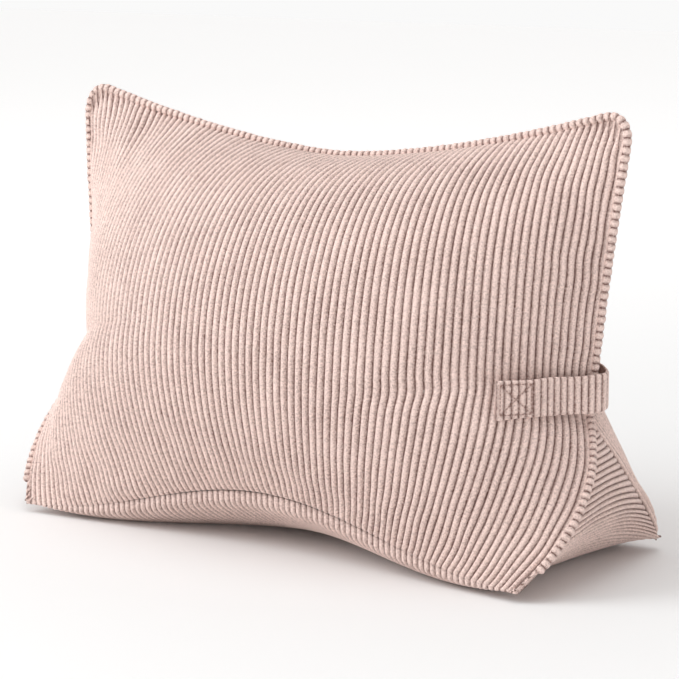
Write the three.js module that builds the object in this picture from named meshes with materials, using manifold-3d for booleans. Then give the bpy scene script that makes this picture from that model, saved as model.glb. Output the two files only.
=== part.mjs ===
// Wedge reading cushion in wide-wale corduroy: a puffed front panel and back panel sewn together
// along a piped top edge, opened out at the bottom by a base panel and two triangular gussets.
// Millimetres, +X along the width, -Y towards the reader, +Z up, origin on the floor under the middle.
import * as THREE from 'three';
import { mergeVertices } from 'three/addons/utils/BufferGeometryUtils.js';
import Module from 'manifold-3d';

const wasm = await Module();
wasm.setup();

// ---------------------------------------------------------------- driving dimensions
const BASE_HALF_WIDTH = 271;      // half the distance between the bottom corners
const BASE_HALF_DEPTH = 115;      // half the depth of the base at its corners
const CORNER_HEIGHT = 9;          // the bottom corners' seam above the floor
const TOP_HALF_WIDTH = 298;       // half the width at the top corners
const TOP_CORNER_HEIGHT = 392;    // the top corners' seam above the floor
const TOP_MIDDLE_HEIGHT = 338;    // the lowest point of the dipping top edge
const TOP_LEAN = 10;              // how far the top edge sits behind the middle of the base
const APEX_HALF_WIDTH = 269;      // the gusset's upper point, where front and back panels meet
const APEX_HEIGHT = 135;
const APEX_Y = -4;
const APEX_SHARE = 0.42;          // the apex's place along the side seam, as a share of its length
const FRONT_ARCH = 43;            // rise of the front bottom seam between its corners
const GUSSET_ARCH = 23;           // rise of the gussets' bottom seams
const FRONT_BELLY = [-170, 139, -148, 351]; // y, z of the two handles of the front's middle profile
const BACK_BELLY = [175, 138, 141, 353];    // the same for the back panel
const BASE_BELLY = 34;            // how far the base panel sags below its seams
const FOOT_BOW = 10;              // how far the front bottom seam is drawn in at its middle
const GUSSET_PUFF = 12.5;         // how far the gussets swell outwards
const GUSSET_SEAM_BOW = { front: [26, 1], back: [11, -8] }; // outwards and backwards at mid-height
const SIDE_HOLLOW = 5;            // how far the upper side seams bow towards the reader
const WAIST = 0.27;               // how strongly the front is gathered in beside the apex
const TOP_CORNER_RADIUS = 28;
const PANEL_THICKNESS = 2.2;      // corduroy with its pile
const LINER_THICKNESS = 0.8;
const LAYER_GAP = 0.5;            // between cover and liner
const FILLING_GAP = 6;            // the loose fibre's solid stays this far inside the liner
const SEAM_GAP = 0.3;             // between two sewn edges, each side of the seam line
const PIPING_RADIUS = 3.75;
const PIPING_WALL = 1.3;
const CLEARANCE = 0.3;            // between pieces that touch in the real cushion
const STRAP_WIDTH = 32;
const STRAP_THICKNESS = 2.2;
const STRAP_RISE = 24;            // the strap's middle above the gusset's apex
const STRAP_SEWN_LENGTH = 34;     // the flat length sewn down at each end
const STRAP_ANCHOR_X = 232;       // where each sewn end stops
const HAND_GAP = 6;               // between the strap's upper edge and the piping it passes over
const STITCH_THICKNESS = 0.6;
const STITCH_WIDTH = 1.2;
const ZIP_HALF_LENGTH = 208;
const ZIP_HEM = 9;                // the narrow strip of cover below the zip
const ZIP_TAPE_WIDTH = 8;
const ZIP_TAPE_THICKNESS = 0.7;
const CHAIN_WIDTH = 1.8;          // one half of the chain
const CHAIN_THICKNESS = 2;
const CHAIN_SLOT = 1.2;           // between the two halves, where the slider's post runs
const ZIP_EASE = 0.6;             // between the straight chain and the tapes, which follow the cover
const SLIDER_LENGTH = 10;
const SLIDER_PLATE = 1.2;
const PULL_LENGTH = 20;
const PULL_WIDTH = 5.4;
const PULL_THICKNESS = 1;

// How full the cushion's sections are: a higher power stays full nearer to the seams.
const TOP_DIP_POWER = 1.6;
const ARCH_POWER = 2.2;
const LEVEL_POWER = 2.7;          // how a panel's level lines bend down to the side seams
const FRONT_POWER = 2.4;
const FRONT_BLUNT = 1.23;
const BACK_POWER = 3;
const BACK_BLUNT = [2, 1.2];      // at the bottom seam and from the apex up
const HEM_POWER = 9;              // added to the back's powers at its straight bottom seam
const HEM_SHARE = 0.2;            // the share of the back's height over which that fades
const FOOT_SHARE = 0.6;           // the share of a panel's height that its bottom seam shapes
const HEAD_SHARE = 0.5;           // and its top seam

// ---------------------------------------------------------------- the cushion's shape
const { abs, cos, max, min, PI, sign, sqrt } = Math;
const clamp01 = (t) => min(1, max(0, t));
const ease = (t) => t * t * (3 - 2 * t);
const mix = (a, b, t) => a + (b - a) * t;
const hump = (t) => 4 * t * (1 - t);

// Side seam on +X, v from the bottom corner (0) past the apex to the top corner (1).
function sideSeam(v, back = false) {
  const low = clamp01(v / APEX_SHARE);
  const high = clamp01((v - APEX_SHARE) / (1 - APEX_SHARE));
  const [outBow, backBow] = back ? GUSSET_SEAM_BOW.back : GUSSET_SEAM_BOW.front;
  const cornerY = back ? BASE_HALF_DEPTH : -BASE_HALF_DEPTH;
  return new THREE.Vector3(
    mix(BASE_HALF_WIDTH, APEX_HALF_WIDTH, low) + (TOP_HALF_WIDTH - APEX_HALF_WIDTH) * high
      + outBow * hump(low),
    mix(cornerY, APEX_Y, low) + (TOP_LEAN - APEX_Y) * high + backBow * hump(low) - SIDE_HOLLOW * hump(high),
    mix(CORNER_HEIGHT, APEX_HEIGHT, low) + (TOP_CORNER_HEIGHT - APEX_HEIGHT) * high,
  );
}

// Bottom seam of the front panel, arched, or of the back panel, straight; u from -1 to 1.
function bottomSeam(u, back = false) {
  const arch = back ? 0 : FRONT_ARCH * max(0, cos(PI * u / 2)) ** ARCH_POWER;
  const y = back ? BASE_HALF_DEPTH : -BASE_HALF_DEPTH + FOOT_BOW * (1 - u * u);
  return new THREE.Vector3(BASE_HALF_WIDTH * u, y, CORNER_HEIGHT + arch);
}

function topSeam(u) {
  return new THREE.Vector3(TOP_HALF_WIDTH * u, TOP_LEAN,
    mix(TOP_MIDDLE_HEIGHT, TOP_CORNER_HEIGHT, abs(u) ** TOP_DIP_POWER));
}

// y and z of a panel's middle profile: a cubic from the bottom seam over the belly to the top seam.
function middleProfile(v, back) {
  const foot = bottomSeam(0, back);
  const head = topSeam(0);
  const [y1, z1, y2, z2] = back ? BACK_BELLY : FRONT_BELLY;
  const w = [(1 - v) ** 3, 3 * (1 - v) ** 2 * v, 3 * (1 - v) * v * v, v ** 3];
  return [w[0] * foot.y + w[1] * y1 + w[2] * y2 + w[3] * head.y,
    w[0] * foot.z + w[1] * z1 + w[2] * z2 + w[3] * head.z];
}

// The back keeps the shape of its straight bottom seam for a short way up.
const hemPower = (v) => HEM_POWER * (1 - ease(clamp01(v / HEM_SHARE)));

// The section across a panel: full over its middle, pulled in to the side seams.
function crossFullness(u, v, back) {
  const power = back ? BACK_POWER + hemPower(v) : FRONT_POWER;
  const blunt = back ? mix(...BACK_BLUNT, ease(clamp01(v / (APEX_SHARE + 0.05)))) : FRONT_BLUNT;
  return max(0, 1 - abs(u) ** power) ** (1 / blunt);
}

function freePanel(u, v, back) {
  const side = sideSeam(v, back);
  const [midY, midZ] = middleProfile(v, back);
  const waist = back ? 0 : WAIST * ease(clamp01(v / APEX_SHARE))
    * (1 - ease(clamp01((v - APEX_SHARE) / (1 - APEX_SHARE))));
  const level = back ? LEVEL_POWER + hemPower(v) : LEVEL_POWER;
  return new THREE.Vector3(
    side.x * u * (1 + waist * (1 - u * u)),
    mix(side.y, midY, crossFullness(u, v, back)),
    mix(side.z, midZ, 1 - abs(u) ** level),
  );
}

// Front or back panel, made to meet its bottom and top seams.
function panelPoint(u, v, back = false) {
  const p = freePanel(u, v, back);
  const nearFoot = clamp01(1 - v / FOOT_SHARE) ** 2;
  const nearHead = clamp01(1 - (1 - v) / HEAD_SHARE) ** 2;
  p.addScaledVector(bottomSeam(u, back).sub(freePanel(u, 0, back)), nearFoot);
  p.addScaledVector(topSeam(u).sub(freePanel(u, 1, back)), nearHead);
  return p;
}

// Triangular gusset on +X: s from the front seam (-1) to the back seam (1), t from base to apex. It
// swells most a little above the base, where it still gives way to the base panel's round edge.
const FOOT_PUFF = 0.35;           // the share of the puff that is left at the base
function gussetPoint(s, t) {
  const p = sideSeam(t * APEX_SHARE).lerp(sideSeam(t * APEX_SHARE, true), (s + 1) / 2);
  p.x += GUSSET_PUFF * (1 - s * s) * (1 - t) ** 0.7 * clamp01(FOOT_PUFF + 2.6 * t);
  p.z += GUSSET_ARCH * (1 - s * s) * (1 - t) ** 2;
  return p;
}

// Base panel: w from the front seam (-1) to the back seam (1); its belly lies flat on the floor.
function basePoint(u, w) {
  const p = bottomSeam(u).lerp(bottomSeam(u, true), (w + 1) / 2);
  const open = 1 - w * w;
  const nearSide = abs(u) ** 6;
  p.x += sign(u) * GUSSET_PUFF * FOOT_PUFF * open * nearSide;
  const sag = BASE_BELLY * (0.76 * open ** 0.26 + 0.24 * open);
  p.z += GUSSET_ARCH * open * nearSide - sag * (1 - abs(u) ** 3.8);
  p.z = max(0, p.z);
  return p;
}

// A point moved into the cushion, towards a core that follows it along X and Z.
function sink(p, depth) {
  const core = new THREE.Vector3(0.6 * p.x, 0, 0.19 * TOP_CORNER_HEIGHT + 0.5 * p.z);
  return p.clone().addScaledVector(core.sub(p).normalize(), depth);
}

// ---------------------------------------------------------------- building closed bodies
const group = new THREE.Group();
const CORDUROY = new THREE.MeshStandardMaterial({ color: 0xd8bdb5, roughness: 0.95, metalness: 0 });
const LINING = new THREE.MeshStandardMaterial({ color: 0xf1efea, roughness: 0.9, metalness: 0 });
const FIBRE = new THREE.MeshStandardMaterial({ color: 0xf8f8f5, roughness: 1, metalness: 0 });
const THREAD = new THREE.MeshStandardMaterial({ color: 0xc3a199, roughness: 0.8, metalness: 0 });
const ZIP_TAPE = new THREE.MeshStandardMaterial({ color: 0xd0b0a8, roughness: 0.85, metalness: 0 });
const ZIP_METAL = new THREE.MeshStandardMaterial({ color: 0xb9b4ae, roughness: 0.35, metalness: 0.9 });
const LABEL = new THREE.MeshStandardMaterial({ color: 0xf4f1ec, roughness: 0.8, metalness: 0 });

function add(name, geometry, material) {
  const mesh = new THREE.Mesh(geometry, material);
  mesh.name = name;
  group.add(mesh);
  return mesh;
}

// A closed geometry from points and triangles, turned so that its faces point out.
function solidFrom(points, triangles) {
  let volume = 0;
  for (const [a, b, c] of triangles) volume += points[a].dot(points[b].clone().cross(points[c]));
  const geometry = new THREE.BufferGeometry();
  geometry.setAttribute('position', new THREE.Float32BufferAttribute(points.flatMap((p) => p.toArray()), 3));
  geometry.setIndex(triangles.flatMap(([a, b, c]) => (volume < 0 ? [a, c, b] : [a, b, c])));
  return geometry;
}

const block = (x0, x1, y0, y1, z0, z1) => new THREE.BoxGeometry(x1 - x0, y1 - y0, z1 - z0)
  .translate((x0 + x1) / 2, (y0 + y1) / 2, (z0 + z1) / 2);

// Joins overlapping closed geometries into one body.
function join(geometries) {
  const solids = geometries.map((geometry) => {
    const plain = geometry.clone();
    plain.deleteAttribute('normal');
    plain.deleteAttribute('uv');
    const merged = mergeVertices(plain, 1e-4);
    return new wasm.Manifold(new wasm.Mesh({
      numProp: 3,
      vertProperties: merged.attributes.position.array,
      triVerts: Uint32Array.from(merged.index.array),
    }));
  });
  const mesh = solids.reduce((whole, solid) => whole.add(solid)).getMesh();
  const geometry = new THREE.BufferGeometry();
  geometry.setAttribute('position', new THREE.Float32BufferAttribute(mesh.vertProperties, 3));
  geometry.setIndex([...mesh.triVerts]);
  return geometry;
}

// A sheet of cloth: grid(a, b) gives points on the cushion's skin for a and b from 0 to 1, and the
// sheet fills the space between two depths below that skin.
function sheet(grid, across, along, outerDepth, innerDepth) {
  const points = [];
  for (const depth of [outerDepth, innerDepth]) {
    for (let i = 0; i <= across; i += 1) {
      for (let j = 0; j <= along; j += 1) points.push(sink(grid(i / across, j / along), depth));
    }
  }
  const row = along + 1;
  const layer = (across + 1) * row;
  const triangles = [];
  const quad = (a, b, c, d) => triangles.push([a, b, c], [a, c, d]);
  for (let i = 0; i < across; i += 1) {
    for (let j = 0; j < along; j += 1) {
      const k = i * row + j;
      quad(k, k + row, k + row + 1, k + 1);
      quad(layer + k, layer + k + 1, layer + k + row + 1, layer + k + row);
    }
  }
  for (let i = 0; i < across; i += 1) {
    const near = i * row;
    const far = near + along;
    quad(near + layer, near + row + layer, near + row, near);
    quad(far, far + row, far + row + layer, far + layer);
  }
  for (let j = 0; j < along; j += 1) {
    const last = across * row + j;
    quad(j, j + 1, j + 1 + layer, j + layer);
    quad(last + layer, last + 1 + layer, last + 1, last);
  }
  return solidFrom(points, triangles);
}

// The parameter, between start and end, at which a curve is a given length away from its start.
function insetAt(curve, start, end, length) {
  if (length <= 0) return start;
  const origin = curve(start);
  let [near, far] = [start, end];
  for (let i = 0; i < 24; i += 1) {
    const middle = (near + far) / 2;
    if (curve(middle).distanceTo(origin) < length) near = middle;
    else far = middle;
  }
  return (near + far) / 2;
}

// Rounds the two top corners of the pattern (a across, b up, both 0 to 1) by mapping a square to a disc.
function roundTopCorners(a, b, radius) {
  const fromSide = min(a, 1 - a) * 2 * TOP_HALF_WIDTH;
  const fromTop = (1 - b) * TOP_CORNER_HEIGHT;
  if (fromSide >= radius || fromTop >= radius) return [a, b];
  const x = 1 - fromSide / radius;
  const y = 1 - fromTop / radius;
  const side = radius * (1 - x * sqrt(1 - y * y / 2)) / (2 * TOP_HALF_WIDTH);
  const top = radius * (1 - y * sqrt(1 - x * x / 2)) / TOP_CORNER_HEIGHT;
  return [a < 0.5 ? side : 1 - side, 1 - top];
}

// ---------------------------------------------------------------- cover panels
const PIPING_INSET = PIPING_RADIUS + 3 * CLEARANCE;
const ZIP_TOP = ZIP_HEM + 2 * (CLEARANCE + ZIP_TAPE_WIDTH + ZIP_EASE + CHAIN_WIDTH) + CHAIN_SLOT;

// Spreads even steps from 0 to 1 so that they crowd towards both ends, where the cover turns fastest.
const crowd = (a) => (1 + Math.sin(PI * (a - 0.5))) / 2;

// Grid of a front or back panel cut back from its seams; foot is its distance from the bottom seam.
function panelGrid(back, foot) {
  return (a, b) => {
    const [ra, rb] = roundTopCorners(crowd(a), b, TOP_CORNER_RADIUS - PIPING_INSET);
    const u0 = 2 * ra - 1;
    const low = insetAt((v) => panelPoint(u0 * 0.985, v, back), 0, 1, foot);
    const high = insetAt((v) => panelPoint(u0 * 0.985, v, back), 1, 0, PIPING_INSET);
    const v = mix(low, high, rb);
    const piped = !back || v > APEX_SHARE - 0.04;
    const edge = insetAt((u) => panelPoint(u, v, back), 1, 0, piped ? PIPING_INSET : SEAM_GAP);
    return panelPoint(u0 * edge, v, back);
  };
}

// Grid of a strip along the back's bottom edge, between two distances from the bottom seam.
function backStrip(from, to) {
  return (a, b) => {
    const u0 = 2 * crowd(a) - 1;
    const low = insetAt((v) => panelPoint(u0 * 0.985, v, true), 0, 1, from);
    const high = insetAt((v) => panelPoint(u0 * 0.985, v, true), 0, 1, to);
    const v = mix(low, high, b);
    const edge = insetAt((u) => panelPoint(u, v, true), 1, 0, SEAM_GAP);
    return panelPoint(u0 * edge, v, true);
  };
}

function baseGrid(a, b) {
  const u0 = 2 * crowd(a) - 1;
  const start = insetAt((w) => basePoint(u0, w), -1, 1, SEAM_GAP);
  const end = insetAt((w) => basePoint(u0, w), 1, -1, SEAM_GAP);
  const w = mix(start, end, crowd(b));
  const edge = insetAt((u) => basePoint(u, w), 1, 0, SEAM_GAP);
  return basePoint(u0 * edge, w);
}

const SLANT = 1.6;                // the gusset's level lines meet its seams at a slant
const TIP = 4;                    // the flat tip that is left at the gusset's apex
function gussetGrid(hand) {
  const top = 1 - (SLANT * (PIPING_INSET + SEAM_GAP) + TIP) / (2 * BASE_HALF_DEPTH);
  return (a, b) => {
    const low = insetAt((t) => gussetPoint(2 * crowd(a) - 1, t), 0, 1, SEAM_GAP);
    const t = mix(low, top, b);
    const start = insetAt((s) => gussetPoint(s, t), -1, 1, SLANT * PIPING_INSET);
    const end = insetAt((s) => gussetPoint(s, t), 1, -1, SLANT * SEAM_GAP);
    const p = gussetPoint(mix(start, end, crowd(a)), t);
    p.x *= hand;
    return p;
  };
}

const BIG = [20, 14];             // facets across and along the front and back panels
const BASE = [18, 8];
const SMALL = [8, 10];
add('front_panel', sheet(panelGrid(false, SEAM_GAP), ...BIG, 0, PANEL_THICKNESS), CORDUROY);
add('back_panel', sheet(panelGrid(true, ZIP_TOP), ...BIG, 0, PANEL_THICKNESS), CORDUROY);
add('back_hem', sheet(backStrip(SEAM_GAP, ZIP_HEM), BIG[0], 1, 0, PANEL_THICKNESS), CORDUROY);
add('base_panel', sheet(baseGrid, ...BASE, 0, PANEL_THICKNESS), CORDUROY);
add('gusset_right', sheet(gussetGrid(1), ...SMALL, 0, PANEL_THICKNESS), CORDUROY);
add('gusset_left', sheet(gussetGrid(-1), ...SMALL, 0, PANEL_THICKNESS), CORDUROY);

// ---------------------------------------------------------------- inner case and filling
const LINER = [PANEL_THICKNESS + LAYER_GAP, PANEL_THICKNESS + LAYER_GAP + LINER_THICKNESS];

// The inner case also closes the back behind the zip: its lowest rows follow the hem and the tapes.
const HEM_ROWS = [SEAM_GAP, ZIP_HEM, (ZIP_HEM + ZIP_TOP) / 2, ZIP_TOP];
function linerBackGrid(a, b) {
  const low = HEM_ROWS.length - 1;
  const row = b * (BIG[1] + low);
  if (row >= low) return panelGrid(true, ZIP_TOP)(a, (row - low) / BIG[1]);
  const height = HEM_ROWS[Math.round(row)];
  return backStrip(height, height)(a, 0);
}
add('liner_front', sheet(panelGrid(false, SEAM_GAP), ...BIG, ...LINER), LINING);
add('liner_back', sheet(linerBackGrid, BIG[0], BIG[1] + HEM_ROWS.length - 1, ...LINER), LINING);
add('liner_base', sheet(baseGrid, ...BASE, ...LINER), LINING);
add('liner_gusset_right', sheet(gussetGrid(1), ...SMALL, ...LINER), LINING);
add('liner_gusset_left', sheet(gussetGrid(-1), ...SMALL, ...LINER), LINING);

// The filling is the whole skin, sunk below the inner case and closed along every seam.
function fillingGeometry(depth, wide, low, high, deep) {
  const points = [];
  const triangles = [];
  const cornerDrop = (p) => {
    const away = Math.hypot(abs(p.x) - TOP_HALF_WIDTH, p.z - TOP_CORNER_HEIGHT);
    return 0.8 * TOP_CORNER_RADIUS * ease(clamp01(1 - away / (3 * TOP_CORNER_RADIUS)));
  };
  const patch = (across, along, at) => {
    const first = points.length;
    for (let i = 0; i <= across; i += 1) {
      for (let j = 0; j <= along; j += 1) {
        const p = at(i, j);
        points.push(sink(p, depth + cornerDrop(p)));
      }
    }
    const middle = first + Math.floor(across / 2) * (along + 1) + Math.floor(along / 3);
    const [p, q, r] = [points[middle], points[middle + along + 1], points[middle + 1]];
    const normal = q.clone().sub(p).cross(r.clone().sub(p));
    const outwards = normal.dot(p.clone().sub(sink(p, 20))) > 0;
    for (let i = 0; i < across; i += 1) {
      for (let j = 0; j < along; j += 1) {
        const k = first + i * (along + 1) + j;
        const ring = [k, k + along + 1, k + along + 2, k + 1];
        if (!outwards) ring.reverse();
        triangles.push([ring[0], ring[1], ring[2]], [ring[0], ring[2], ring[3]]);
      }
    }
  };
  const rise = (j) => (j <= low ? APEX_SHARE * j / low : APEX_SHARE + (1 - APEX_SHARE) * (j - low) / high);
  const over = (i) => 2 * crowd(i / wide) - 1;
  const under = (j) => 2 * crowd(j / deep) - 1;
  for (const back of [false, true]) patch(wide, low + high, (i, j) => panelPoint(over(i), rise(j), back));
  patch(wide, deep, (i, j) => basePoint(over(i), under(j)));
  for (const hand of [1, -1]) {
    patch(deep, low, (i, j) => gussetPoint(under(i), j / low).multiply(new THREE.Vector3(hand, 1, 1)));
  }
  const raw = new THREE.BufferGeometry();
  raw.setAttribute('position', new THREE.Float32BufferAttribute(points.flatMap((p) => p.toArray()), 3));
  raw.setIndex(triangles.flat());
  const merged = mergeVertices(raw, 1e-3);
  const kept = [];
  const index = merged.index.array;
  for (let i = 0; i < index.length; i += 3) {
    const [a, b, c] = [index[i], index[i + 1], index[i + 2]];
    if (a !== b && b !== c && c !== a) kept.push(a, b, c);
  }
  merged.setIndex(kept);
  return merged;
}
add('filling', fillingGeometry(LINER[1] + FILLING_GAP, 20, 6, 8, 8), FIBRE);

// ---------------------------------------------------------------- piping
// The piped seam runs up one side, round the top corners, along the top and down the other side.
function pipingPath(sideSteps, cornerSteps, topSteps) {
  const right = [];
  const start = insetAt((v) => sideSeam(v), 0, 1, PIPING_RADIUS + 3);
  const cornerA = 1 - TOP_CORNER_RADIUS / (2 * TOP_HALF_WIDTH);
  const cornerB = 1 - TOP_CORNER_RADIUS / TOP_CORNER_HEIGHT;
  for (let i = 0; i < sideSteps; i += 1) right.push([1, mix(start, cornerB, i / sideSteps)]);
  for (let i = 0; i < cornerSteps; i += 1) right.push([1, mix(cornerB, 1, i / cornerSteps)]);
  for (let i = 0; i < cornerSteps; i += 1) right.push([mix(1, cornerA, i / cornerSteps), 1]);
  for (let i = 0; i < topSteps; i += 1) right.push([mix(cornerA, 0.5, i / topSteps), 1]);
  const seam = right.map(([a, b]) => {
    if (b <= APEX_SHARE) return sideSeam(b);
    const [ra, rb] = roundTopCorners(a, b, TOP_CORNER_RADIUS);
    const u = 2 * ra - 1;
    return panelPoint(u, rb).lerp(panelPoint(u, rb, true), 0.5);
  });
  const left = seam.map((p) => new THREE.Vector3(-p.x, p.y, p.z)).reverse();
  return new THREE.CatmullRomCurve3([...seam, topSeam(0), ...left], false, 'centripetal');
}

function ring(outer, inner, sides) {
  const shape = new THREE.Shape();
  const hole = new THREE.Path();
  for (let i = 0; i < sides; i += 1) {
    const turn = 2 * PI * i / sides;
    const step = i === 0 ? 'moveTo' : 'lineTo';
    shape[step](outer * cos(turn), outer * Math.sin(turn));
    if (inner > 0) hole[step](inner * cos(turn), inner * Math.sin(turn));
  }
  if (inner > 0) shape.holes.push(hole);
  return shape;
}

const seamPath = pipingPath(18, 4, 14);
const PIPING_STEPS = Math.round(seamPath.getLength() / 11); // short enough to follow the curved seam
const PIPING_SIDES = 6;
const CORD_RADIUS = PIPING_RADIUS - PIPING_WALL - CLEARANCE / cos(PI / PIPING_SIDES);
const alongSeam = (section) => new THREE.ExtrudeGeometry(section,
  { extrudePath: seamPath, steps: PIPING_STEPS, bevelEnabled: false });
add('piping_sleeve', alongSeam(ring(PIPING_RADIUS, PIPING_RADIUS - PIPING_WALL, PIPING_SIDES)), CORDUROY);
add('piping_cord', alongSeam(ring(CORD_RADIUS, 0, PIPING_SIDES)), FIBRE);

// ---------------------------------------------------------------- carrying strap on the right side
const STRAP_MIDDLE = APEX_HEIGHT + STRAP_RISE;

// The parameter at which a rising value reaches a level, between start and end.
function reachAt(value, start, end, level) {
  let [near, far] = [start, end];
  for (let i = 0; i < 24; i += 1) {
    const middle = (near + far) / 2;
    if (value(middle) < level) near = middle;
    else far = middle;
  }
  return (near + far) / 2;
}

// Plan view of the skin that the strap lies over: the widest outline within the strap's width.
function skinPlan(u, back) {
  let [x, y] = [0, 0];
  for (const rise of [-STRAP_WIDTH / 2, 0, STRAP_WIDTH / 2]) {
    const v = reachAt((t) => panelPoint(u, t, back).z, 0, 1, STRAP_MIDDLE + rise);
    const p = panelPoint(u, v, back);
    x = max(x, p.x);
    y = back ? max(y, p.y) : min(y, p.y);
  }
  return new THREE.Vector2(x, y);
}

// One half of the strap's run: the sewn end as a straight stretch, then the free part to the side.
function strapHalf(back) {
  const out = back ? 1 : -1;
  const sewnU = reachAt((u) => skinPlan(u, back).x, 0.5, 1, STRAP_ANCHOR_X);
  const freeU = insetAt((u) => skinPlan(u, back), sewnU, 1, STRAP_SEWN_LENGTH);
  const [start, end] = [skinPlan(sewnU, back), skinPlan(freeU, back)];
  const along = end.clone().sub(start).normalize();
  const outward = new THREE.Vector2(-out * along.y, out * along.x);
  let rise = 0;
  for (const t of [0.25, 0.5, 0.75]) {
    rise = max(rise, skinPlan(mix(sewnU, freeU, t), back).sub(start).dot(outward));
  }
  const lift = rise + 2 * CLEARANCE;
  const points = [0, 0.33, 0.67, 1].map((t) => start.clone().lerp(end, t).addScaledVector(outward, lift));
  // Between the sewn end and the piping the strap leaves the skin gradually, sideways and outwards.
  const away = new THREE.Vector2(0.8, 0.6 * out);
  for (const t of [0.4, 0.75]) {
    const p = skinPlan(mix(freeU, 1, t), back);
    points.push(p.addScaledVector(away, mix(lift, HAND_GAP + PIPING_RADIUS, t)));
  }
  return { points, along, outward, length: start.distanceTo(end) };
}

const strapHalves = [strapHalf(false), strapHalf(true)];
function strapGeometry() {
  const topV = reachAt((v) => sideSeam(v).z, 0, 1, STRAP_MIDDLE + STRAP_WIDTH / 2);
  const side = sideSeam(topV);
  const turn = new THREE.Vector2(side.x + PIPING_RADIUS + HAND_GAP, side.y);
  const [front, back] = strapHalves.map((half) => half.points);
  const curve = new THREE.SplineCurve([...front, turn, ...back.slice().reverse()]);
  const inner = curve.getPoints(40);
  const outer = inner.map((p, i) => {
    const along = inner[min(i + 1, inner.length - 1)].clone().sub(inner[max(i - 1, 0)]).normalize();
    return new THREE.Vector2(p.x + along.y * STRAP_THICKNESS, p.y - along.x * STRAP_THICKNESS);
  });
  return new THREE.ExtrudeGeometry(new THREE.Shape([...inner, ...outer.reverse()]),
    { depth: STRAP_WIDTH, bevelEnabled: false, steps: 1 });
}
add('handle_strap', strapGeometry(), CORDUROY).position.z = STRAP_MIDDLE - STRAP_WIDTH / 2;

// Box-and-cross stitching: a frame of thread with two diagonals, lying on the strap's sewn end.
function boxStitch(width, height) {
  const [x, y, t] = [width / 2, height / 2, STITCH_WIDTH];
  const thread = (x0, x1, y0, y1) => block(x0, x1, y0, y1, 0, STITCH_THICKNESS);
  const diagonal = Math.hypot(width - t, height - t) / 2;
  const turn = Math.atan2(height - t, width - t);
  return join([
    thread(-x, x, -y, t - y), thread(-x, x, y - t, y), thread(-x, t - x, -y, y), thread(x - t, x, -y, y),
    ...[turn, -turn].map((angle) => thread(-diagonal, diagonal, -t / 2, t / 2).rotateZ(angle)),
  ]);
}

strapHalves.forEach(({ points, along, outward, length }, i) => {
  const width = length - 6 * STITCH_WIDTH;
  const stitch = add(i ? 'handle_stitch_back' : 'handle_stitch_front', boxStitch(width, STRAP_WIDTH - 6), THREAD);
  const centre = points[0].clone().addScaledVector(along, length / 2 - 1.5 * STITCH_WIDTH)
    .addScaledVector(outward, STRAP_THICKNESS + CLEARANCE);
  const run = i ? -1 : 1;
  stitch.quaternion.setFromRotationMatrix(new THREE.Matrix4().makeBasis(
    new THREE.Vector3(run * along.x, run * along.y, 0), new THREE.Vector3(0, 0, 1),
    new THREE.Vector3(outward.x, outward.y, 0)));
  stitch.position.set(centre.x, centre.y, STRAP_MIDDLE);
});

// ---------------------------------------------------------------- zip along the back's bottom edge
const CHAIN_EDGE = CHAIN_SLOT / 2 + CHAIN_WIDTH;
const CHAIN_MIDDLE = ZIP_HEM + CLEARANCE + ZIP_TAPE_WIDTH + ZIP_EASE + CHAIN_EDGE; // above the bottom seam
const TAPE_OUTER = 0.6;           // the tape's outer face below the skin line
const tape = (from) => sheet(backStrip(from, from + ZIP_TAPE_WIDTH), BIG[0], 1,
  TAPE_OUTER, TAPE_OUTER + ZIP_TAPE_THICKNESS);
add('zip_tape_lower', tape(ZIP_HEM + CLEARANCE), ZIP_TAPE);
add('zip_tape_upper', tape(CHAIN_MIDDLE + CHAIN_EDGE + ZIP_EASE), ZIP_TAPE);

// The zip's own frame: X along the chain towards its closed end on the left, Y up the cover and
// Z away from it, with its origin in the chain's slot.
const slotV = insetAt((v) => panelPoint(0, v, true), 0, 1, CHAIN_MIDDLE);
const zipAcross = panelPoint(0, slotV + 0.01, true).sub(panelPoint(0, slotV - 0.01, true)).normalize();
const zipFrame = new THREE.Group();
zipFrame.position.copy(panelPoint(0, slotV, true));
zipFrame.quaternion.setFromRotationMatrix(new THREE.Matrix4().makeBasis(
  new THREE.Vector3(-1, 0, 0), zipAcross, new THREE.Vector3(0, zipAcross.z, -zipAcross.y)));
group.add(zipFrame);

function inZip(name, geometry, material, x = 0) {
  const mesh = add(name, geometry, material);
  mesh.position.x = x;
  zipFrame.add(mesh);
}

const CHAIN_TOP = 1.4;            // the chain's outer face above the skin line
const CHAIN_FLOOR = CHAIN_TOP - CHAIN_THICKNESS;
const STOP_TOP = CHAIN_TOP + 0.8;
const STOP_START = ZIP_HALF_LENGTH + CLEARANCE;
const TOP_STOP_LENGTH = 3;
const BOTTOM_STOP_LENGTH = 4;
const onChain = (x0, x1, low, high, top) => block(x0, x1, low, high, CHAIN_FLOOR, top);
const HALVES = { upper: [CHAIN_SLOT / 2, CHAIN_EDGE], lower: [-CHAIN_EDGE, -CHAIN_SLOT / 2] };
for (const [half, span] of Object.entries(HALVES)) {
  inZip(`zip_chain_${half}`, onChain(-ZIP_HALF_LENGTH, ZIP_HALF_LENGTH, ...span, CHAIN_TOP), ZIP_METAL);
  inZip(`zip_top_stop_${half}`, onChain(STOP_START, STOP_START + TOP_STOP_LENGTH, ...span, STOP_TOP), ZIP_METAL);
}
inZip('zip_bottom_stop',
  onChain(-STOP_START - BOTTOM_STOP_LENGTH, -STOP_START, -CHAIN_EDGE, CHAIN_EDGE, STOP_TOP), ZIP_METAL);

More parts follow.
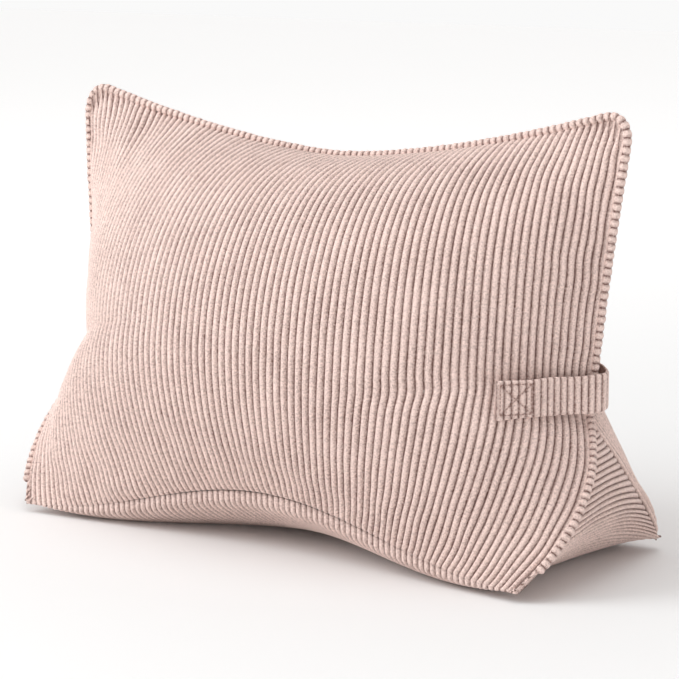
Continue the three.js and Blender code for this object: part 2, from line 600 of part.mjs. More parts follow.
// Slider: outer and inner plates joined by a post that runs in the chain's slot, and a bridge on
// the outer plate that holds the pull's crossbar.
const PLATE_FLOOR = CHAIN_TOP + CLEARANCE;
const PLATE_TOP = PLATE_FLOOR + SLIDER_PLATE;
const BAR_HALF = 0.6;             // half the width of the pull's crossbar
const BAR_ROOM = Math.hypot(BAR_HALF, PULL_THICKNESS / 2) + CLEARANCE;
const BRIDGE_HALF_WIDTH = 0.8;
const BRIDGE_WALL = 1.2;
const BRIDGE_ROOM = 0.7;          // beside the crossbar, so that the pull can turn right over
const SINK = 0.4;                 // how far joined pieces run into each other
const SLIDER_HALF_WIDTH = 4;
const INNER_PLATE = 0.8;
const POST_HALF = CHAIN_SLOT / 2 - CLEARANCE;
const SLIDER_HALF = SLIDER_LENGTH / 2;

function bridge() {
  const inside = BAR_ROOM + BRIDGE_ROOM;
  const top = PLATE_TOP + 2 * BAR_ROOM;
  const foot = inside + BRIDGE_WALL;
  const shoulder = inside + 0.6 * BRIDGE_WALL;
  const window = PLATE_TOP - SINK / 4;
  const path = (corners) => corners.map((p) => new THREE.Vector2(...p));
  const shape = new THREE.Shape(path([[-foot, PLATE_TOP - SINK], [foot, PLATE_TOP - SINK],
    [shoulder, top + BRIDGE_WALL], [-shoulder, top + BRIDGE_WALL]]));
  shape.holes.push(new THREE.Path(path([[-inside, window], [inside, window], [inside, top], [-inside, top]])));
  return new THREE.ExtrudeGeometry(shape, { depth: 2 * BRIDGE_HALF_WIDTH, bevelEnabled: false, steps: 1 })
    .translate(0, 0, -BRIDGE_HALF_WIDTH).rotateX(PI / 2);
}

const sliderHome = ZIP_HALF_LENGTH - SLIDER_HALF;
const innerPlateTop = CHAIN_FLOOR - CLEARANCE;
inZip('zip_slider', join([
  block(-SLIDER_HALF, SLIDER_HALF, -SLIDER_HALF_WIDTH, SLIDER_HALF_WIDTH, PLATE_FLOOR, PLATE_TOP),
  block(-SLIDER_HALF, SLIDER_HALF, -CHAIN_EDGE, CHAIN_EDGE, innerPlateTop - INNER_PLATE, innerPlateTop),
  block(-SLIDER_HALF, SLIDER_HALF, -POST_HALF, POST_HALF, innerPlateTop - SINK, PLATE_FLOOR + SINK),
  bridge(),
]), ZIP_METAL, sliderHome);

// Pull: a flat tab whose crossbar turns under the slider's bridge.
function pullGeometry() {
  const arm = BRIDGE_HALF_WIDTH + BRIDGE_ROOM;
  const [half, windowEnd] = [PULL_WIDTH / 2, -SLIDER_HALF - 2]; // the window reaches past the slider
  const outline = [new THREE.Vector2(BAR_HALF, -half), new THREE.Vector2(BAR_HALF, half)];
  for (let i = 0; i <= 8; i += 1) {
    const turn = PI / 2 + PI * i / 8;
    outline.push(new THREE.Vector2(half - PULL_LENGTH + half * cos(turn), half * Math.sin(turn)));
  }
  const shape = new THREE.Shape(outline);
  shape.holes.push(new THREE.Path([[-BAR_HALF, -arm], [-BAR_HALF, arm], [windowEnd, arm], [windowEnd, -arm]]
    .map((p) => new THREE.Vector2(...p))));
  return new THREE.ExtrudeGeometry(shape, { depth: PULL_THICKNESS, bevelEnabled: false, steps: 1 })
    .translate(0, 0, PLATE_TOP + BAR_ROOM - PULL_THICKNESS / 2);
}
inZip('zip_pull', pullGeometry(), ZIP_METAL, sliderHome);

// ---------------------------------------------------------------- care label
// A blank label beside the left back seam, lying on the back panel a little above the zip.
const LABEL_FROM = [-0.95, 0.2];  // its lower outer corner, as u and v on the back panel
const LABEL_SPAN = 0.1;           // along both
const LABEL_FACE = -1.8;          // depths of its two faces, outside the skin
const LABEL_BACK = -1.3;
const labelGrid = (a, b) => panelPoint(LABEL_FROM[0] + LABEL_SPAN * a, LABEL_FROM[1] + LABEL_SPAN * b, true);
add('care_label', sheet(labelGrid, 8, 6, LABEL_FACE, LABEL_BACK), LABEL);

// The origin lies under the middle of the whole cushion.
group.position.y = -new THREE.Box3().setFromObject(group).getCenter(new THREE.Vector3()).y;

export default group;
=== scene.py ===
import math

import bmesh
import bpy
import numpy as np
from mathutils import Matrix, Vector
from mathutils.kdtree import KDTree


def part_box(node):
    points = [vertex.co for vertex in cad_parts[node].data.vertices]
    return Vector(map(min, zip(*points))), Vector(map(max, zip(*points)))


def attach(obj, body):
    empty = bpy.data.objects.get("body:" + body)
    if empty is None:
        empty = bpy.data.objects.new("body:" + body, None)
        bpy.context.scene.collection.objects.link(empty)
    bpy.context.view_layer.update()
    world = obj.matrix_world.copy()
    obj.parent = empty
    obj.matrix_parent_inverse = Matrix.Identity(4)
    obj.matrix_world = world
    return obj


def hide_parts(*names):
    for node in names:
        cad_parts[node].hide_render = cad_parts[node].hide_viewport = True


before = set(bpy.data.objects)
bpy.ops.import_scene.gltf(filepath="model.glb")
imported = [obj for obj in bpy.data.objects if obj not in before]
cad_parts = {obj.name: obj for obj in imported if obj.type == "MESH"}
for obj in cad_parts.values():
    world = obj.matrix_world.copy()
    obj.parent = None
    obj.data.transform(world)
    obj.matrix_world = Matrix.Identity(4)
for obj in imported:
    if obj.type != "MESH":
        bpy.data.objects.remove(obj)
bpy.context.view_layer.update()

# ---------------------------------------------------------------- stuffed inner cushion
# A white inner case full of loose polyester fibre. It has the cover's cut: a front and a back panel sewn
# together along the top and the upper sides, opened out below by a base panel and a triangular gusset at
# each side. The fibre swells every panel between its seams, and the base sags flat where it rests.
BASE_HALF_WIDTH, BASE_HALF_DEPTH, CORNER_RISE = 0.271, 0.115, 0.009
TOP_HALF_WIDTH, TOP_CORNER_RISE, TOP_MIDDLE_RISE, TOP_LEAN = 0.298, 0.392, 0.338, 0.010
APEX_HALF_WIDTH, APEX_LEAN, APEX_RISE, APEX_SHARE = 0.269, -0.004, 0.135, 0.42
TOP_CORNER_RADIUS = 0.028
FRONT_BELLY = ((-0.170, 0.139), (-0.148, 0.351))
BACK_BELLY = ((0.175, 0.138), (0.141, 0.353))
LINER_DEPTH = 0.006


def fade(t):
    t = np.clip(t, 0, 1)
    return t * t * (3 - 2 * t)


def bow(t):
    return 4 * t * (1 - t)


def point(x, y, z):
    return np.stack(np.broadcast_arrays(x, y, z), -1)


def side_seam(v, back=False):
    """The right side seam from the bottom corner, 0, past the gusset's apex to the top corner, 1."""
    low = np.clip(v / APEX_SHARE, 0, 1)
    high = np.clip((v - APEX_SHARE) / (1 - APEX_SHARE), 0, 1)
    corner = BASE_HALF_DEPTH if back else -BASE_HALF_DEPTH
    out, along = (0.011, -0.008) if back else (0.026, 0.001)
    x = (BASE_HALF_WIDTH + (APEX_HALF_WIDTH - BASE_HALF_WIDTH) * low
         + (TOP_HALF_WIDTH - APEX_HALF_WIDTH) * high)
    y = corner + (APEX_LEAN - corner) * low + (TOP_LEAN - APEX_LEAN) * high
    z = CORNER_RISE + (APEX_RISE - CORNER_RISE) * low + (TOP_CORNER_RISE - APEX_RISE) * high
    return point(x + out * bow(low), y + along * bow(low) - 0.005 * bow(high), z)


def bottom_seam(u, back=False):
    arch = 0 if back else 0.043 * np.maximum(0, np.cos(math.pi / 2 * u)) ** 2.2
    y = BASE_HALF_DEPTH + 0 * u if back else -BASE_HALF_DEPTH + 0.010 * (1 - u * u)
    return point(BASE_HALF_WIDTH * u, y, CORNER_RISE + arch)


def top_seam(u):
    dip = TOP_MIDDLE_RISE + (TOP_CORNER_RISE - TOP_MIDDLE_RISE) * np.abs(u) ** 1.6
    return point(TOP_HALF_WIDTH * u, TOP_LEAN, dip)


def swollen(u, v, back):
    """A big panel before its bottom and top seams draw it in: the middle profile, pulled to the sides."""
    side = side_seam(v, back)
    foot, head = bottom_seam(np.array(0.0), back), top_seam(np.array(0.0))
    (y1, z1), (y2, z2) = BACK_BELLY if back else FRONT_BELLY
    w = (1 - v) ** 3, 3 * (1 - v) ** 2 * v, 3 * (1 - v) * v * v, v**3
    middle_y = w[0] * foot[1] + w[1] * y1 + w[2] * y2 + w[3] * head[1]
    middle_z = w[0] * foot[2] + w[1] * z1 + w[2] * z2 + w[3] * head[2]
    straight = 9 * (1 - fade(v / 0.2)) if back else 0
    blunt = 2 - 0.8 * fade(v / (APEX_SHARE + 0.05)) if back else 1.23
    full = np.maximum(0, 1 - np.abs(u) ** ((3 if back else 2.4) + straight)) ** (1 / blunt)
    waist = 0 if back else 0.27 * fade(v / APEX_SHARE) * (1 - fade((v - APEX_SHARE) / (1 - APEX_SHARE)))
    x = side[..., 0] * u * (1 + waist * (1 - u * u))
    y = side[..., 1] + (middle_y - side[..., 1]) * full
    z = side[..., 2] + (middle_z - side[..., 2]) * (1 - np.abs(u) ** (2.7 + straight))
    return point(x, y, z)


def big_panel(u, v, back):
    low = (np.clip(1 - v / 0.6, 0, 1) ** 2)[..., None]
    high = (np.clip(1 - (1 - v) / 0.5, 0, 1) ** 2)[..., None]
    shape = swollen(u, v, back)
    shape = shape + low * (bottom_seam(u, back) - swollen(u, 0 * v, back))
    return shape + high * (top_seam(u) - swollen(u, 0 * v + 1, back))


def side_gusset(s, t, hand):
    """s runs from the front seam, -1, to the back seam, 1; t from the base, 0, to the apex, 1."""
    front, rear = side_seam(t * APEX_SHARE), side_seam(t * APEX_SHARE, True)
    shape = front + (rear - front) * ((s + 1) / 2)[..., None]
    open_ = 1 - s * s
    shape[..., 0] += 0.0125 * open_ * (1 - t) ** 0.7 * np.clip(0.35 + 2.6 * t, 0, 1)
    shape[..., 2] += 0.023 * open_ * (1 - t) ** 2
    return shape * [hand, 1, 1]


def floor_panel(u, w):
    """w runs from the front seam, -1, to the back seam, 1."""
    front, rear = bottom_seam(u), bottom_seam(u, True)
    shape = front + (rear - front) * ((w + 1) / 2)[..., None]
    open_, near_side = 1 - w * w, np.abs(u) ** 6
    sag = 0.034 * (0.76 * open_**0.26 + 0.24 * open_) * (1 - np.abs(u) ** 3.8)
    shape[..., 0] += np.sign(u) * 0.0125 * 0.35 * open_ * near_side
    shape[..., 2] = np.maximum(0, shape[..., 2] + 0.023 * open_ * near_side - sag)
    return shape


# Every panel as a function of two shares, both from 0 to 1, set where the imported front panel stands.
PANELS = {
    "front": lambda a, b: big_panel(2 * a - 1, b, False),
    "back": lambda a, b: big_panel(2 * a - 1, b, True),
    "base": lambda a, b: floor_panel(2 * a - 1, 2 * b - 1),
    "right": lambda a, b: side_gusset(2 * a - 1, b, 1),
    "left": lambda a, b: side_gusset(2 * a - 1, b, -1),
}
fine_a, fine_b = np.meshgrid(np.linspace(0, 1, 61), np.linspace(0, 1, 61), indexing="ij")
home = Vector((0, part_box("front_panel")[0].y - PANELS["front"](fine_a, fine_b)[..., 1].min(), 0))


def rows_of(name):
    """How many steps a coarse panel has each way; the big ones keep a row on the gusset's apex."""
    return {"front": (44, 32), "back": (44, 32), "base": (44, 16), "right": (16, 14), "left": (16, 14)}[name]


def coarse_shares(name):
    across, up = rows_of(name)
    a, b = np.linspace(0, 1, across + 1), np.linspace(0, 1, up + 1)
    if name in ("front", "back"):
        b = np.concatenate([np.linspace(0, APEX_SHARE, 15), np.linspace(APEX_SHARE, 1, 19)[1:]])
    return a, b


def cloth_grid(bm, across, up, place):
    """A flat grid of squares, moved to where place puts each of its corners."""
    made = bmesh.ops.create_grid(bm, x_segments=across, y_segments=up, size=1)["verts"]
    flat = np.array([v.co for v in made])
    for vert, spot in zip(made, place((flat[:, 0] + 1) / 2, (flat[:, 1] + 1) / 2)):
        vert.co = spot
    return made


def round_corner(vert):
    """Draws the case in at its top corners, where the cover is rounded and sewn flat."""
    side = math.copysign(TOP_HALF_WIDTH, vert.co.x)
    away = math.hypot(vert.co.x - side, vert.co.z - TOP_CORNER_RISE)
    pull = float(fade(1 - away / (3.2 * TOP_CORNER_RADIUS)))
    vert.co.x -= math.copysign(0.9 * TOP_CORNER_RADIUS * pull, side)
    vert.co.z -= 0.9 * TOP_CORNER_RADIUS * pull
    vert.co.y += (TOP_LEAN - vert.co.y) * min(1, 1.3 * pull)


def coarse_body(depth=0.0, slack=None):
    """The five panels welded along their seams into one closed body, its skin moved in by depth."""
    bm = bmesh.new()
    for name, shape in PANELS.items():
        a_steps, b_steps = coarse_shares(name)
        across, up = rows_of(name)

        def place(a, b, name=name, shape=shape, a_steps=a_steps, b_steps=b_steps, across=across, up=up):
            i, j = np.rint(a * across).astype(int), np.rint(b * up).astype(int)
            spots = shape(a_steps[i], b_steps[j])
            return spots if slack is None else spots + slack[name][i, j]

        cloth_grid(bm, across, up, place)
    bmesh.ops.remove_doubles(bm, verts=bm.verts, dist=2e-5)
    bmesh.ops.dissolve_degenerate(bm, edges=bm.edges, dist=1e-6)
    bmesh.ops.recalc_face_normals(bm, faces=bm.faces)
    bm.normal_update()
    bm.verts.index_update()
    if depth:
        for vert, inward in [(v, v.normal * -depth) for v in bm.verts]:
            vert.co += inward
            round_corner(vert)
    bmesh.ops.translate(bm, vec=home, verts=bm.verts)
    return bm


def settle(frames=20, reach=0.007):
    """Lets the coarse body swell as cloth under the fibre's pressure, held at its seams and where it rests on
    the floor, and returns how far each coarse point moved, capped at reach."""
    lines = [(u, 0.0) for u in np.linspace(0, 1, 89)] + [(u, 1.0) for u in np.linspace(0, 1, 89)]
    lines += [(e, v) for e in (0.0, 1.0) for v in np.linspace(0, 1, 97)]
    seams = KDTree(2 * len(lines))
    for k, name in enumerate(("front", "back")):
        for m, (a, b) in enumerate(lines):
            seams.insert(Vector(PANELS[name](np.array(a), np.array(b))) + home, k * len(lines) + m)
    seams.balance()
    bm = coarse_body()
    grip = []
    for vert in bm.verts:
        near_seam = 1 - fade((seams.find(vert.co)[2] - 0.004) / 0.028)
        near_floor = 1 - fade((vert.co.z - 0.012) / 0.03)
        grip.append(float(max(near_seam, near_floor)))
    for vert, inward in [(v, v.normal * -0.0025 * (1 - grip[v.index])) for v in bm.verts]:
        vert.co += inward
    rest = np.array([v.co for v in bm.verts])
    mesh = bpy.data.meshes.new("settling")
    bm.to_mesh(mesh)
    bm.free()
    body = bpy.data.objects.new("settling", mesh)
    bpy.context.scene.collection.objects.link(body)
    held = body.vertex_groups.new(name="held")
    for k, share in enumerate(grip):
        held.add([k], share, "REPLACE")
    cloth = body.modifiers.new("swell", "CLOTH")
    cloth.settings.quality = 5
    cloth.settings.mass = 0.3
    cloth.settings.tension_stiffness = cloth.settings.compression_stiffness = 30
    cloth.settings.shear_stiffness = 8
    cloth.settings.bending_stiffness = 0.5
    cloth.settings.use_pressure = True
    cloth.settings.uniform_pressure_force = 4
    cloth.settings.effector_weights.gravity = 0
    cloth.settings.vertex_group_mass = "held"
    cloth.point_cache.frame_start, cloth.point_cache.frame_end = 1, frames
    for frame_number in range(1, frames + 1):
        bpy.context.scene.frame_set(frame_number)
    shown = body.evaluated_get(bpy.context.evaluated_depsgraph_get()).to_mesh()
    moved = np.array([v.co for v in shown.vertices]) - rest
    bpy.data.objects.remove(body)
    bpy.context.scene.frame_set(1)
    far = np.linalg.norm(moved, axis=1, keepdims=True)
    moved *= np.minimum(1, reach / np.maximum(far, 1e-9))
    tree = KDTree(len(rest))
    for k, spot in enumerate(rest):
        tree.insert(spot, k)
    tree.balance()
    settled = {}
    for name, shape in PANELS.items():
        a, b = np.meshgrid(*coarse_shares(name), indexing="ij")
        start = shape(a, b) + np.array(home)
        nearest = np.array([[tree.find(spot)[1] for spot in column] for column in start])
        settled[name] = moved[nearest] + rest[nearest] - start
    return settled


slack = settle()


def skin(name, a, b):
    """A panel's finished skin: the cut shape and how far the fibre has pushed it, smoothly between the
    coarse points."""
    spots = PANELS[name](a, b) + np.array(home)
    if slack is None:
        return spots
    a_steps, b_steps = coarse_shares(name)
    field = slack[name]
    x = np.interp(a, a_steps, np.arange(len(a_steps)))
    y = np.interp(b, b_steps, np.arange(len(b_steps)))

    def weights(t):
        t = t[..., None]
        return np.concatenate(
            [-t**3 + 2 * t**2 - t, 3 * t**3 - 5 * t**2 + 2, -3 * t**3 + 4 * t**2 + t, t**3 - t**2], -1) / 2

    i = np.clip(np.floor(x).astype(int), 0, field.shape[0] - 2)
    j = np.clip(np.floor(y).astype(int), 0, field.shape[1] - 2)
    wx, wy = weights(x - i), weights(y - j)
    move = np.zeros_like(spots)
    for p in range(4):
        for q in range(4):
            at = field[np.clip(i + p - 1, 0, field.shape[0] - 1), np.clip(j + q - 1, 0, field.shape[1] - 1)]
            move += (wx[..., p] * wy[..., q])[..., None] * at
    return spots + move


def finish_piece(name, bm, node_slot, material, *cad_nodes, body="cushion", smooth=True):
    """Turns a bmesh into a piece that rides on its body and stands for its CAD nodes."""
    mesh = bpy.data.meshes.new(name)
    bm.to_mesh(mesh)
    bm.free()
    mesh.polygons.foreach_set("use_smooth", [smooth] * len(mesh.polygons))
    mesh.materials.append(material)
    piece = bpy.data.objects.new(name, mesh)
    bpy.context.scene.collection.objects.link(piece)
    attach(piece, body)
    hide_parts(*cad_nodes)
    return piece


class Dye:
    """A value in a material. Sums and products of values add the Math nodes that work them out."""

    def __init__(self, tree, socket):
        self.tree, self.socket = tree, socket

    def node(self, kind, settings=None, values=None, out=0):
        made = self.tree.nodes.new("ShaderNode" + kind)
        for key, value in (settings or {}).items():
            if key == "stops":
                for stop, (where, colour) in zip(made.color_ramp.elements, value):
                    stop.position, stop.color = where, colour
            else:
                setattr(made, key, value)
        for key, value in (values or {}).items():
            if isinstance(value, Dye):
                self.tree.links.new(value.socket, made.inputs[key])
            else:
                made.inputs[key].default_value = value
        return Dye(self.tree, made.outputs[out])

    def sum(self, operation, *terms):
        return self.node("Math", {"operation": operation}, dict(enumerate(terms)))

    def __add__(self, other): return self.sum("ADD", self, other)
    def __radd__(self, other): return self.sum("ADD", other, self)
    def __sub__(self, other): return self.sum("SUBTRACT", self, other)
    def __rsub__(self, other): return self.sum("SUBTRACT", other, self)
    def __mul__(self, other): return self.sum("MULTIPLY", self, other)
    def __rmul__(self, other): return self.sum("MULTIPLY", other, self)
    def __truediv__(self, other): return self.sum("DIVIDE", self, other)
    def __pow__(self, other): return self.sum("POWER", self, other)


def finish_of(name, **settings):
    """A new material with its shader's own settings, and the place on the piece as a Dye."""
    material = bpy.data.materials.new(name)
    material.use_nodes = True
    shader = material.node_tree.nodes["Principled BSDF"]
    for key, value in settings.items():
        shader.inputs[key.replace("_", " ")].default_value = value
    start = Dye(material.node_tree, None)
    return material, shader, start.node("TexCoord", out="Object"), start


def wear(shader, **links):
    for key, value in links.items():
        value.tree.links.new(value.socket, shader.inputs[key.replace("_", " ")])


def tint(start, share, low, high):
    return start.node("Mix", {"data_type": "RGBA"}, {0: share, 6: (*low, 1), 7: (*high, 1)}, out=2)


def plain_weave(name, low, high, pitch, **settings):
    """Fine woven cloth: threads over and under at the given pitch in metres."""
    material, shader, place, start = finish_of(name, Roughness=0.9, **settings)
    wave = {"wave_type": "BANDS", "bands_direction": "DIAGONAL"}
    threads = start.node("TexWave", wave, {"Vector": place, "Scale": 0.32 / pitch, "Distortion": 0.6})
    cloud = start.node("TexNoise", None, {"Vector": place, "Scale": 90.0, "Detail": 3.0})
    share = threads.node("Math", {"operation": "MULTIPLY_ADD"}, {0: threads, 1: 0.5, 2: cloud * 0.5})
    bump = start.node("Bump", None, {"Height": share, "Strength": 0.5, "Distance": pitch / 3})
    wear(shader, Base_Color=tint(start, share, low, high), Normal=bump)
    return material


lining_cloth = plain_weave("lining_cloth", (0.74, 0.72, 0.68), (0.90, 0.88, 0.85), 0.0009)
inner_cushion = finish_piece(
    "inner_cushion", coarse_body(LINER_DEPTH, slack), "lining", lining_cloth,
    "liner_front", "liner_back", "liner_base", "liner_gusset_right", "liner_gusset_left", "filling",
)

# ---------------------------------------------------------------- corduroy cover panels
# Five panels of wide-wale corduroy: on the big panels the wales run up and down, on the base front to
# back, and on the gussets across. Cut edges are turned in at every seam, and the wales flatten there.
WALES_ACROSS = 90
WALE_RELIEF = 0.0027
CLOTH_THICKNESS = 0.0016


def corduroy_dye_and_shade(name, crest, groove_shade):
    """Short cotton pile: pale along each wale's crest, flecked and streaked along, with painted shade
    darkening the grooves.
    """
    material, shader, place, start = finish_of(
        name, Roughness=0.92, Sheen_Weight=0.45, Sheen_Roughness=0.35, Sheen_Tint=(1, 0.9, 0.87, 1))
    shader.inputs["Specular IOR Level"].default_value = 0.15
    cut = start.node("SeparateXYZ", None, {0: start.node("TexCoord", out="UV")})
    across, along = cut, Dye(cut.tree, cut.socket.node.outputs["Y"])
    grain = start.node("CombineXYZ", None, {"X": across * 9.0, "Y": along * 1.6})
    streak = start.node("TexNoise", None, {"Vector": grain, "Scale": 1.0, "Detail": 3.0, "Roughness": 0.65})
    fleck = start.node("TexNoise", None, {"Vector": place, "Scale": 620.0, "Detail": 3.0, "Roughness": 0.8})
    patch = start.node("TexNoise", None, {"Vector": place, "Scale": 24.0, "Detail": 3.0, "Roughness": 0.55})
    side = start.sum("ABSOLUTE", start.sum("FRACT", across) * 2.0 - 1.0)
    # Painted shade: towards the bottom of each groove the colour darkens to the shade colour.
    painted_groove_shade = side ** 2.6
    pile = 0.88 - painted_groove_shade * 0.84 + (streak - 0.5) * 0.5 + (fleck - 0.5) * 1.9 + (patch - 0.5) * 0.3
    share = start.sum("MAXIMUM", start.sum("MINIMUM", pile, 1.0), 0.0)
    height = (1.0 - side * side * side) * 1.0 + (fleck - 0.5) * 1.4 + (streak - 0.5) * 0.3
    bump = start.node("Bump", None, {"Height": height, "Strength": 0.75, "Distance": 0.0007})
    wear(shader, Base_Color=tint(start, share, groove_shade, crest), Normal=bump)
    return material


# The crest colour is the cloth's own; the second colour is painted shade for the bottom of the grooves.
corduroy = corduroy_dye_and_shade("corduroy", (0.985, 0.765, 0.695), (0.15, 0.068, 0.054))


def even_across(shape, b, count):
    """For each row b, the shares across at which count even steps of cloth fall."""
    a = np.linspace(0, 1, 241)
    found = np.empty((count + 1, len(b)))
    for k, share in enumerate(b):
        spots = shape(a, np.full_like(a, share))
        run = np.concatenate([[0], np.cumsum(np.linalg.norm(np.diff(spots, axis=0), axis=1))])
        found[:, k] = np.interp(np.linspace(0, run[-1], count + 1), run, a)
    return found


def unevenness(x, y, seed, amount, wavelength):
    """A soft random field from a few seeded waves."""
    dice = np.random.default_rng(seed)
    total = np.zeros(np.broadcast(x, y).shape)
    for _ in range(14):
        turn, size, start = dice.uniform(0, 2 * math.pi), dice.uniform(0.6, 1.8), dice.uniform(0, 2 * math.pi)
        total += np.sin(2 * math.pi / (wavelength * size) * (x * math.cos(turn) + y * math.sin(turn)) + start)
    return amount * total / 3.7


def wales_on(spots, count, along_first, edge, seed, outward):
    """Raises wales on a grid of skin points: along_first says that they run along the second index.
    edge is each point's distance from the nearest seam."""
    grad = [np.gradient(spots, axis=k) for k in (0, 1)]
    normal = np.cross(grad[0], grad[1])
    normal /= np.maximum(np.linalg.norm(normal, axis=-1, keepdims=True), 1e-12)
    if (normal * (spots - outward)).sum() < 0:
        normal = -normal
    n, m = spots.shape[:2]
    steps = np.linspace(0, count, n if along_first else m)
    phase = np.broadcast_to(steps[:, None] if along_first else steps[None, :], (n, m))
    run = np.cumsum(np.linalg.norm(np.diff(spots, axis=1 if along_first else 0,
                                       prepend=spots[:, :1] if along_first
                                           else spots[:1]), axis=-1), axis=1 if along_first else 0)
    crest = np.abs(np.sin(math.pi * phase)) ** 0.65
    tall = 1 + unevenness(phase * 0.0067, run * 0.35, seed, 0.16, 0.02)
    relief = WALE_RELIEF * tall * (crest - 1) * (0.35 + 0.65 * fade(edge / 0.006))
    turned_in = -0.0013 * (1 - fade(edge / 0.0035)) ** 1.5
    return spots + normal * (relief + turned_in)[..., None], phase, run


def cloth_piece(name, spots, phase, run, count_pitch, node_slot, material, *cad_nodes,
                thickness=CLOTH_THICKNESS):
    """A panel of cloth through a grid of points, with its own cut as its UV map, thickened inwards."""
    n, m = spots.shape[:2]
    bm = bmesh.new()
    made = bmesh.ops.create_grid(bm, x_segments=n - 1, y_segments=m - 1, size=1, calc_uvs=False)["verts"]
    flat = spots.swapaxes(0, 1).reshape(-1, 3)
    cut = np.stack([phase, run / count_pitch], -1).swapaxes(0, 1).reshape(-1, 2)
    for vert, spot in zip(made, flat):
        vert.co = spot
    bm.verts.index_update()
    layer = bm.loops.layers.uv.new("cut")
    for face in bm.faces:
        for loop in face.loops:
            loop[layer].uv = cut[loop.vert.index]
    middle = flat.mean(0)
    centre = Vector((0.55 * middle[0], 0.55 * middle[1], 0.15))
    bm.normal_update()
    if sum(face.normal.dot(face.calc_center_median() - centre) for face in bm.faces) < 0:
        bmesh.ops.reverse_faces(bm, faces=bm.faces)
    piece = finish_piece(name, bm, node_slot, material, *cad_nodes)
    wall = piece.modifiers.new("thickness", "SOLIDIFY")
    wall.thickness, wall.offset, wall.use_even_offset = thickness, -1, False
    return piece


def top_limit(a):
    """How far up the cut reaches at a share across: the top corners are rounded."""
    from_side = np.minimum(a, 1 - a) * 2 * TOP_HALF_WIDTH
    into = np.clip(1 - from_side / TOP_CORNER_RADIUS, 0, 1)
    return 1 - TOP_CORNER_RADIUS / TOP_CORNER_RISE * (1 - np.sqrt(1 - into**2))


def seam_centre(a, b):
    return (skin("front", a, b) + skin("back", a, b)) / 2


def corner_hold(a, b):
    """How strongly the two big panels are held together round the top corners, from 0 to 1."""
    x = TOP_CORNER_RADIUS - np.minimum(a, 1 - a) * 2 * TOP_HALF_WIDTH
    y = TOP_CORNER_RADIUS - (1 - b) * TOP_CORNER_RISE
    inside = TOP_CORNER_RADIUS - np.hypot(np.maximum(x, 0), np.maximum(y, 0))
    return fade(1 - inside / 0.024) * fade(1.8 * x / TOP_CORNER_RADIUS) * fade(1.8 * y / TOP_CORNER_RADIUS)


def close_rows(count):
    """Even rows, with a few more close to both ends where the edges are turned in."""
    ends = np.array([0, 0.0035, 0.008, 0.014])
    return np.concatenate([ends, np.linspace(0.022, 0.978, count - 7), 1 - ends[::-1]])


def puckers(spots, a, edge, seed):
    """Gathers along the seams: shallow dents that die out a few centimetres into the panel."""
    x, z = spots[..., 0], spots[..., 2]
    return unevenness(x, z, seed, 0.0011, 0.045) * fade(edge / 0.01) * (1 - fade((edge - 0.01) / 0.09))


def big_cloth(name, side, foot, rows, seed, *cad_nodes):
    """The front or back panel; foot gives the share up at which its lowest row lies."""
    per_wale = 4
    b_rows = close_rows(rows)
    a = even_across(PANELS[side], b_rows, WALES_ACROSS * per_wale)
    low = foot(a)
    b = low + b_rows[None, :] * (top_limit(a) - low)
    spots = skin(side, a, b)
    hold = corner_hold(a, b)[..., None]
    spots = spots * (1 - hold) + seam_centre(a, b) * hold
    width = 2 * TOP_HALF_WIDTH
    from_side = np.minimum(np.arange(a.shape[0]), a.shape[0] - 1 - np.arange(a.shape[0]))[:, None] \
        / (a.shape[0] - 1) * width
    step = np.linalg.norm(np.diff(spots, axis=1), axis=-1)
    run = np.concatenate([np.zeros((a.shape[0], 1)), np.cumsum(step, axis=1)], axis=1)
    edge = np.minimum(np.minimum(from_side, run), run[:, -1:] - run)
    out = -1 if side == "front" else 1
    push = puckers(spots, a, edge, seed)
    if side == "front":
        push = push + creases(spots)
    spots = spots + np.array([0, out, 0]) * push[..., None]
    spots, phase, run = wales_on(spots, WALES_ACROSS, True, edge, seed + 1, np.array([0, 0, 0.15]))
    return cloth_piece(name, spots, phase, run, 0.0067, "corduroy", corduroy, *cad_nodes)


def creases(spots):
    """Soft creases that use leaves in the front: one beside the strap's sewn end and a dent under the top."""
    x, z = spots[..., 0], spots[..., 2]
    beside = np.exp(-(((x - 0.175) / 0.055) ** 2)) * np.exp(-(((z - 0.163 - 0.1 * (x - 0.175)) / 0.010) ** 2))
    dent = np.exp(-(((x + 0.205) / 0.020) ** 2)) * np.exp(-(((z - 0.352) / 0.030) ** 2))
    return -0.0035 * beside - 0.004 * dent


front_cover = big_cloth("front_cover", "front", lambda a: 0 * a, 104, 11, "front_panel")


def distance_up(side, a, length, far=0.3):
    """The share up a big panel at which the cloth is a given length from its bottom seam, for each a."""
    b = np.linspace(0, far, 60)
    spots = PANELS[side](np.clip(a[:, None], 0.0075, 0.9925), b[None, :])
    run = np.concatenate([np.zeros((len(a), 1)),
                          np.cumsum(np.linalg.norm(np.diff(spots, axis=1), axis=-1), axis=1)], 1)
    return np.array([np.interp(far_up, row, b) for far_up, row in zip(np.broadcast_to(length, len(a)), run)])


HEM_WIDTH, ZIP_OPENING, ZIP_END = 0.0087, 0.0316, 0.211


def zip_edge(a):
    """The back panel's lower edge: above the zip, and down on the hem beyond the zip's ends."""
    beyond = fade((np.abs(2 * a[:, :1] - 1) * BASE_HALF_WIDTH - ZIP_END) / 0.009)[:, 0]
    return distance_up("back", a[:, 0], ZIP_OPENING + (HEM_WIDTH - 0.0004 - ZIP_OPENING) * beyond)[:, None]


back_cover = big_cloth("back_cover", "back", zip_edge, 88, 23, "back_panel")


